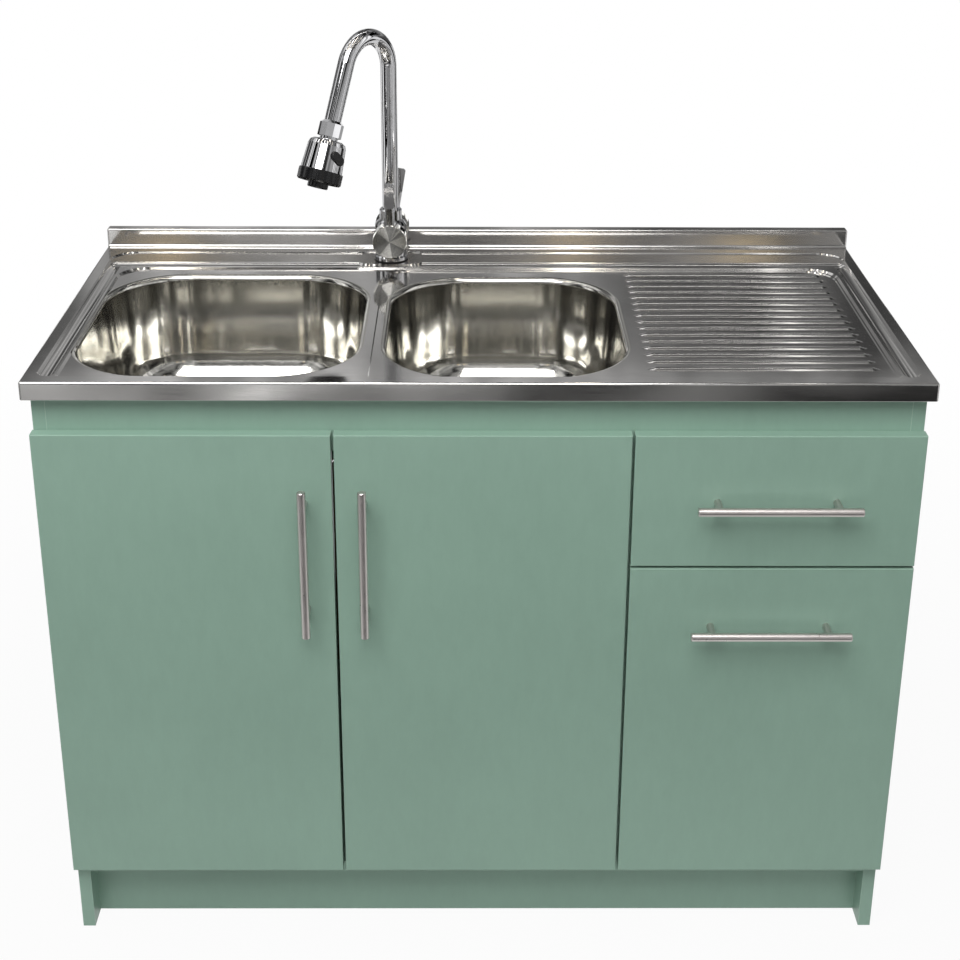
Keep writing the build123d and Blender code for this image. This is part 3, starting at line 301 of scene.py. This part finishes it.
def turned_chrome(name):
    """Plated metal with lathe marks round the lever axis, so that light spreads outwards, and dark wedges on
    the face that are a painted reflection.
    """
    material, shader, surface = new_material(name)
    surface.inputs["Metallic"].default_value = 1.0
    parts = shader.parts(shader.place())
    across = shader.math("SUBTRACT", parts["X"], LEVER_AXIS[0])
    upward = shader.math("SUBTRACT", parts["Z"], LEVER_AXIS[1])
    outward = shader.node("ShaderNodeCombineXYZ", X=across, Z=upward).outputs[0]
    way = shader.vector("NORMALIZE", outward)["Vector"]
    radius = shader.vector("LENGTH", outward)["Value"]
    ring = shader.node("ShaderNodeCombineXYZ", X=radius, Y=parts["Y"]).outputs[0]
    marks = shader.noise_at(ring, scale=1400.0, detail=3.0)
    sector = shader.noise_at(way, scale=1.7, detail=2.0)
    facing = shader.parts(shader.node("ShaderNodeTexCoord").outputs["Normal"])
    face = shader.ramp(shader.math("ABSOLUTE", facing["Y"]), (0.85, 0.0), (0.95, 1.0))
    tone = shader.mix(shader.spread(marks), CAP_BRIGHT, CAP_GROOVE)
    # Painted reflection: dark wedges by angle round the axis on the cap's face stand in for the spun metal's
    # wedge-shaped reflections.
    painted_reflection_wedge = shader.math("MULTIPLY", shader.ramp(sector, (0.54, 0.0), (0.46, 0.85)), face)
    shader.feed(surface.inputs["Base Color"], shader.mix(painted_reflection_wedge, tone, CAP_PAINTED_REFLECTION_DARK))
    wear_and_painted_edge_highlight = shader.spread(marks, *CAP_FACE_ROUGHNESS)
    shader.feed(surface.inputs["Roughness"], shader.ramp(face, (0.0, CAP_SIDE_ROUGHNESS), (1.0, wear_and_painted_edge_highlight)))
    surface.inputs["Anisotropic"].default_value = TURNED_ANISOTROPY
    shader.feed(surface.inputs["Tangent"], way)
    return material


def plastic(name, colour, roughness):
    """Moulded plastic with a fine texture and lighter rubbed edges."""
    material, shader, surface = new_material(name)
    grain = shader.noise(EVEN, scale=1500.0, detail=2.0)
    cloud = shader.noise(EVEN, scale=40.0, detail=4.0)
    surface.inputs["Specular IOR Level"].default_value = PLASTIC_SPECULAR
    light = tuple(min(1.0, channel * 2.5 + 0.004) for channel in colour[:3]) + (1,)
    tone = shader.mix(shader.spread(cloud, 0.0, 0.2), colour, light)
    wear_and_painted_edge_highlight = shader.edges(PLASTIC_EDGE, start=0.05, full=0.5)
    shader.feed(surface.inputs["Base Color"], shader.mix(wear_and_painted_edge_highlight, tone, light))
    swing = roughness * ROUGHNESS_SWING
    shader.feed(surface.inputs["Roughness"], shader.spread(cloud, roughness - swing, roughness + swing))
    shader.feed(surface.inputs["Normal"], shader.bump(grain, FINE_BUMP, strength=0.6))
    return material


def hardboard(name):
    """Brown fibre board with short pressed fibres."""
    material, shader, surface = new_material(name)
    fibre = shader.noise(FLAT_FIBRES, scale=220.0, detail=6.0, roughness=0.7)
    cloud = shader.noise(EVEN, scale=9.0, detail=4.0)
    tone = shader.mix(shader.spread(fibre), linear(128, 99, 68), linear(160, 128, 92))
    shaded = shader.mix(shader.spread(cloud, 0.0, 0.4), tone, linear(112, 86, 60))
    shader.feed(surface.inputs["Base Color"], shaded)
    surface.inputs["Roughness"].default_value = 0.75
    shader.feed(surface.inputs["Normal"], shader.bump(fibre, FIBRE_BUMP, strength=0.6))
    return material


slot_materials = {
    # The second colour of each laminate is its painted edge highlight.
    "laminate": laminate("sage_laminate", SAGE, SAGE_EDGE_HIGHLIGHT),
    "box_board": laminate("pale_melamine", linear(214, 213, 207), linear(226, 225, 221)),
    "back_board": hardboard("hardboard"),
    "stainless": steel(
        "pressed_steel",
        colour=(0.60, 0.59, 0.575, 1),
        stained=(0.54, 0.53, 0.52, 1),
        roughness=0.10,
        brushing=(0.12, 1, 1),
        wave=0.00025,
        scratch=0.000003,
        along=(1, 0, 0),
    ),
    "bowl_steel": steel(
        "bowl_steel",
        colour=(0.62, 0.61, 0.575, 1),
        stained=(0.54, 0.53, 0.495, 1),
        roughness=0.12,
        brushing=(1, 1, 0.1),
        wave=0.0003,
        scratch=0.000003,
        ripple=0.00012,
    ),
    "handle_steel": steel(
        "handle_steel",
        colour=(0.66, 0.62, 0.60, 1),
        stained=(0.60, 0.56, 0.545, 1),
        roughness=0.34,
        brushing=EVEN,
        scratch=0.000002,
    ),
    "chrome_plate": chrome("chrome_plate"),
    "fitting_steel": steel(
        "zinc_steel",
        colour=(0.58, 0.59, 0.60, 1),
        stained=(0.48, 0.48, 0.47, 1),
        roughness=0.35,
        brushing=EVEN,
    ),
    "black_plastic": plastic("black_plastic", (0.006, 0.006, 0.0065, 1), 0.16),
    "seal_rubber": plastic("seal_rubber", (0.02, 0.02, 0.02, 1), 0.7),
}


def dress_cad_nodes():
    """Gives each CAD node the material of its slot in the record."""
    slots = {entry["node"]: entry["material_slot"] for entry in frame["record"]["subparts"]}
    turned = turned_chrome("turned_chrome")
    for name, node in frame["nodes"].items():
        node.data.materials.clear()
        node.data.materials.append(turned if name in TURNED else slot_materials[slots[name]])


# ---------------------------------------------------------------- floor, world and lamps
# A pair of (place or noise, brightness) points is the start and the end of a ramp.
FLOOR_SIDE = 26.0
FLOOR_WHITE = 0.5
FLOOR_GLOW = ((0.9, 0.95), (2.4, 1.0))  # outwards from the object; the rest takes its shadow
STAGE_FRONT = -0.55
STAGE_FADE = 0.5
HALL_FLOOR_PATCHES = ((0.42, 0.15), (0.58, 0.8))
HALL_FLOOR_ASIDE = ((-1.2, 0.9), (1.1, 0.13))
HALL_FLOOR_NEAR = ((-2.2, 1.0), (-2.0, 0.4))
HALL_FLOOR_FAR = ((-2.7, 4.2), (-2.55, 1.0))
SPOT_PLACE = (-0.57, -2.38)  # what the apron mirrors at its bright place
SPOT = ((0.03, 1.3), (0.15, 0.0))

HALL_SIDE = 1.9
HALL_REAR = 1.5
HALL_FRONT = 3.3
HALL_FOOT = 0.002
HALL_HEIGHT = 2.4
HALL_SIDES = 128
HALL_ROUNDNESS = 0.5  # the power that makes an ellipse boxy
BROAD_UPRIGHTS = ((0.47, 0.0), (0.53, 0.5))
NARROW_UPRIGHTS = ((0.57, 0.0), (0.60, 1.1))

BEHIND = ((0.6, 0.0), (0.9, 1.0))
WINDOW_FOOT = ((1.16, 0.0), (1.22, 1.0))
WINDOW_HEAD = (1.66, 1.76)
ABOVE_WINDOW = 0.3
SHEET_LEFT = ((-1.04, 0.09), (-0.80, 0.42))
SHEET_RIGHT = ((-0.05, 0.0), (0.5, -0.30))
SHEET_FRONT = ((1.54, 0.0), (1.60, 0.22))
SHEET_STREAKS = ((0.35, 0.55), (0.65, 1.45))

OPPOSITE_HEIGHT = ((1.55, 0.0), (1.75, 1.0))
OPPOSITE_DEPTH = ((-1.4, 1.0), (-0.9, 0.0))
OPPOSITE_ASIDE = ((-1.3, 1.15), (1.3, 0.7))
OPPOSITE_PATCHES = ((0.42, 0.22), (0.58, 0.85))
WARM_SPOTS = (-1.17, 0.39, 1.04)
WARM_HEIGHT = 2.03
WARM_SPOT = ((0.02, 1.0), (0.13, 0.0))
WARM_GLOW = (2.0, 1.6, 1.0, 1)

WORLD_STRETCH = (2.2, 2.2, 3.0)
WORLD_CLOUDS = ((0.43, 0.03), (0.57, 0.9))
WORLD_ASIDE = ((-0.35, 1.1), (0.35, 0.35))
WHITE = (1, 1, 1, 1)

PALE_LIGHT = (1.0, 0.98, 0.95)
WARM_LIGHT = (1.0, 0.92, 0.78)
LAMPS = {
    "key": {"place": (-0.5, -2.0, 3.3), "target": (0, -0.3, 0.55), "size": (2.2, 1.8), "power": 89},
    "fill": {"place": (1.8, -3.4, 1.9), "target": (0, 0, 0.6), "size": (1.6, 1.2), "power": 9},
    "line": {
        "place": (-0.5, 0.9, 3.1),
        "target": (-0.3, 0.3, 0),
        "size": (3.0, 0.05),
        "power": 3.4,
        "colour": PALE_LIGHT,
    },
}
STRIP_COUNT = 6
STRIP_FIRST = -1.5
STRIP_PITCH = 0.6
STRIP_DEPTH = -0.3
STRIP_HEIGHT = 3.2
STRIP_SIZE = (0.04, 1.4)
STRIP_POWER = 2.2
STRIP_POWER_RIGHT = 0.7
STRIP_RIGHT = 0.5


def link_mesh(name, points, faces, material):
    """A mesh object with one material, in the scene's collection."""
    mesh = bpy.data.meshes.new(name)
    mesh.from_pydata(points, [], faces)
    mesh.materials.append(material)
    made = bpy.data.objects.new(name, mesh)
    bpy.context.collection.objects.link(made)
    return made


def hall_floor_tone(shader, parts):
    """The grey of the hall's floor in front, with the bright spot that the apron mirrors."""
    patches = shader.noise(EVEN, scale=2.1, detail=2.0, roughness=0.6)
    tone = shader.math(
        "MULTIPLY",
        shader.ramp(patches, *HALL_FLOOR_PATCHES),
        shader.ramp(parts["X"], *HALL_FLOOR_ASIDE),
    )
    tone = shader.math("MULTIPLY", tone, shader.ramp(parts["Y"], *HALL_FLOOR_NEAR))
    tone = shader.math("MULTIPLY", tone, shader.ramp(parts["Y"], *HALL_FLOOR_FAR))
    from_spot = shader.vector("DISTANCE", shader.place(), (*SPOT_PLACE, 0.0))["Value"]
    return shader.math("MAXIMUM", tone, shader.ramp(from_spot, *SPOT))


def add_floor():
    """A floor that is white for the camera, and mirrored as a white stage in a grey hall."""
    half = FLOOR_SIDE / 2
    material = bpy.data.materials.new("stage_floor")
    shader = bare_shader(material)
    place = shader.place()
    parts = shader.parts(place)
    white = shader.ramp(parts["Y"], (STAGE_FRONT - STAGE_FADE, 0.0), (STAGE_FRONT, 1.0))
    hall = shader.grey(hall_floor_tone(shader, parts))
    colour = shader.mix(white, hall, (FLOOR_WHITE, FLOOR_WHITE, FLOOR_WHITE, 1))
    lit = shader.node("ShaderNodeBsdfDiffuse", Color=colour)
    glow = shader.node("ShaderNodeEmission", Color=WHITE, Strength=1.0)
    path = shader.node("ShaderNodeLightPath").outputs
    mirrored = shader.math("MAXIMUM", path["Is Glossy Ray"], path["Is Transmission Ray"])
    seen = shader.math("MAXIMUM", path["Is Camera Ray"], shader.math("MULTIPLY", mirrored, white))
    away = shader.vector("LENGTH", place)["Value"]
    share = shader.math("MULTIPLY", shader.ramp(away, *FLOOR_GLOW), seen)
    blend = shader.node("ShaderNodeMixShader", Fac=share)
    shader.feed(blend.inputs[1], lit.outputs[0])
    shader.feed(blend.inputs[2], glow.outputs[0])
    shader.node("ShaderNodeOutputMaterial", Surface=blend.outputs[0])
    corners = [(-half, -half, 0), (half, -half, 0), (half, half, 0), (-half, half, 0)]
    link_mesh("floor", corners, [(0, 1, 2, 3)], material)


def boxy(value):
    """A cosine or sine pressed outwards, so that an ellipse turns boxy."""
    return math.copysign(abs(value) ** HALL_ROUNDNESS, value)


def hall_ring_mesh():
    """The points and faces of a boxy ring, deeper in front of the object than behind it."""
    points = []
    faces = []
    for index in range(HALL_SIDES):
        angle = 2 * pi * index / HALL_SIDES
        depth = HALL_REAR if sin(angle) > 0 else HALL_FRONT
        for height in (HALL_FOOT, HALL_HEIGHT):
            points.append((HALL_SIDE * boxy(cos(angle)), depth * boxy(sin(angle)), height))
        first = 2 * index
        following = 2 * ((index + 1) % HALL_SIDES)
        faces.append((first, following, following + 1, first + 1))
    return points, faces


def uprights_tone(shader):
    """Broad and narrow bright uprights on the ring."""
    broad = shader.noise((1, 1, 0.15), scale=1.5, detail=1.0)
    narrow = shader.noise((1, 1, 0.08), scale=4.8, detail=1.0)
    return shader.math("ADD", shader.ramp(broad, *BROAD_UPRIGHTS), shader.ramp(narrow, *NARROW_UPRIGHTS))


def sheet_tone(shader, parts):
    """What the flat sheet mirrors: darker at its front left corner and over the drainer."""
    tone = shader.math("ADD", shader.ramp(parts["X"], *SHEET_LEFT), shader.ramp(parts["X"], *SHEET_RIGHT))
    tone = shader.math("ADD", tone, shader.ramp(parts["Z"], *SHEET_FRONT))
    streaks = shader.noise((1, 1, 0.35), scale=9.0, detail=2.0)
    return shader.math("MULTIPLY", tone, shader.ramp(streaks, *SHEET_STREAKS))


def opposite_tone(shader, parts):
    """What the splash edge and the tap ledge mirror between them."""
    patches = shader.noise((1, 0.2, 0.6), scale=2.2, detail=2.0)
    fall = shader.ramp(parts["X"], *OPPOSITE_ASIDE)
    return shader.math("MULTIPLY", shader.ramp(patches, *OPPOSITE_PATCHES), fall)


def add_hall_ring():
    """Dark and bright places round the stage, seen only in reflections."""
    material = bpy.data.materials.new("hall_uprights")
    shader = bare_shader(material)
    parts = shader.parts(shader.place())
    low, high = WINDOW_HEAD
    behind = shader.ramp(parts["Y"], *BEHIND)
    above = shader.math("MULTIPLY", shader.ramp(parts["Z"], (low, 0.0), (high, 1.0)), behind)
    calm = shader.math("MULTIPLY", uprights_tone(shader), shader.ramp(above, (0.0, 1.0), (1.0, ABOVE_WINDOW)))
    window = shader.math(
        "MULTIPLY", shader.ramp(parts["Z"], *WINDOW_FOOT), shader.ramp(parts["Z"], (low, 1.0), (high, 0.0))
    )
    window = shader.math("MULTIPLY", window, behind)
    tone = shader.mix(window, shader.grey(calm), shader.grey(sheet_tone(shader, parts)))
    upper = shader.math(
        "MULTIPLY", shader.ramp(parts["Z"], *OPPOSITE_HEIGHT), shader.ramp(parts["Y"], *OPPOSITE_DEPTH)
    )
    tone = shader.mix(upper, tone, shader.grey(opposite_tone(shader, parts)))
    upright = shader.node("ShaderNodeCombineXYZ", X=parts["X"], Z=parts["Z"]).outputs[0]
    in_front = shader.math("LESS_THAN", parts["Y"], 0.0)
    for across in WARM_SPOTS:
        gap = shader.vector("DISTANCE", upright, (across, 0.0, WARM_HEIGHT))["Value"]
        near = shader.math("MULTIPLY", shader.ramp(gap, *WARM_SPOT), in_front)
        tone = shader.mix(near, tone, WARM_GLOW)
    glow = shader.node("ShaderNodeEmission", Color=tone, Strength=1.0)
    shader.node("ShaderNodeOutputMaterial", Surface=glow.outputs[0])
    ring = link_mesh("hall_ring", *hall_ring_mesh(), material)
    ring.visible_camera = False
    ring.visible_diffuse = False
    ring.visible_shadow = False
    ring.visible_transmission = False


def add_world():
    """White for the camera, and otherwise a dim hall with soft clouds of light."""
    world = bpy.data.worlds.new("hall")
    scene.world = world
    shader = bare_shader(world)
    way = shader.node("ShaderNodeTexCoord").outputs["Generated"]
    mapped = shader.node("ShaderNodeMapping", Vector=way, Scale=WORLD_STRETCH)
    cloud = shader.noise_at(mapped.outputs[0], scale=1.8, detail=3.0)
    aside = shader.ramp(shader.parts(way)["X"], *WORLD_ASIDE)
    hall = shader.grey(shader.math("MULTIPLY", shader.ramp(cloud, *WORLD_CLOUDS), aside))
    seen = shader.node("ShaderNodeLightPath").outputs["Is Camera Ray"]
    back = shader.node("ShaderNodeBackground", Color=shader.mix(seen, hall, WHITE), Strength=1.0)
    shader.node("ShaderNodeOutputWorld", Surface=back.outputs[0])


def add_lamp(name, place, target, size, power, colour=(1, 1, 1)):
    """A soft rectangular lamp that points at a target."""
    data = bpy.data.lights.new(name, "AREA")
    data.shape = "RECTANGLE"
    data.size = size[0]
    data.size_y = size[1]
    data.energy = power
    data.color = colour
    lamp = bpy.data.objects.new(name, data)
    bpy.context.collection.objects.link(lamp)
    lamp.location = place
    lamp.rotation_euler = (Vector(target) - Vector(place)).to_track_quat("-Z", "Y").to_euler()
    lamp.visible_camera = False


def add_lamps():
    """A high key lamp in front, a weak fill, and strips that draw streaks in the steel."""
    for name, settings in LAMPS.items():
        add_lamp(name, **settings)
    for index in range(STRIP_COUNT):
        across = STRIP_FIRST + index * STRIP_PITCH
        colour = WARM_LIGHT if index % 2 else PALE_LIGHT
        power = STRIP_POWER if across < STRIP_RIGHT else STRIP_POWER_RIGHT
        place = (across, STRIP_DEPTH, STRIP_HEIGHT)
        add_lamp(f"strip_{index}", place, (across, 0.0, 0), STRIP_SIZE, power, colour)


add_camera()
add_floor()
add_hall_ring()
add_world()
add_lamps()
dress_cad_nodes()
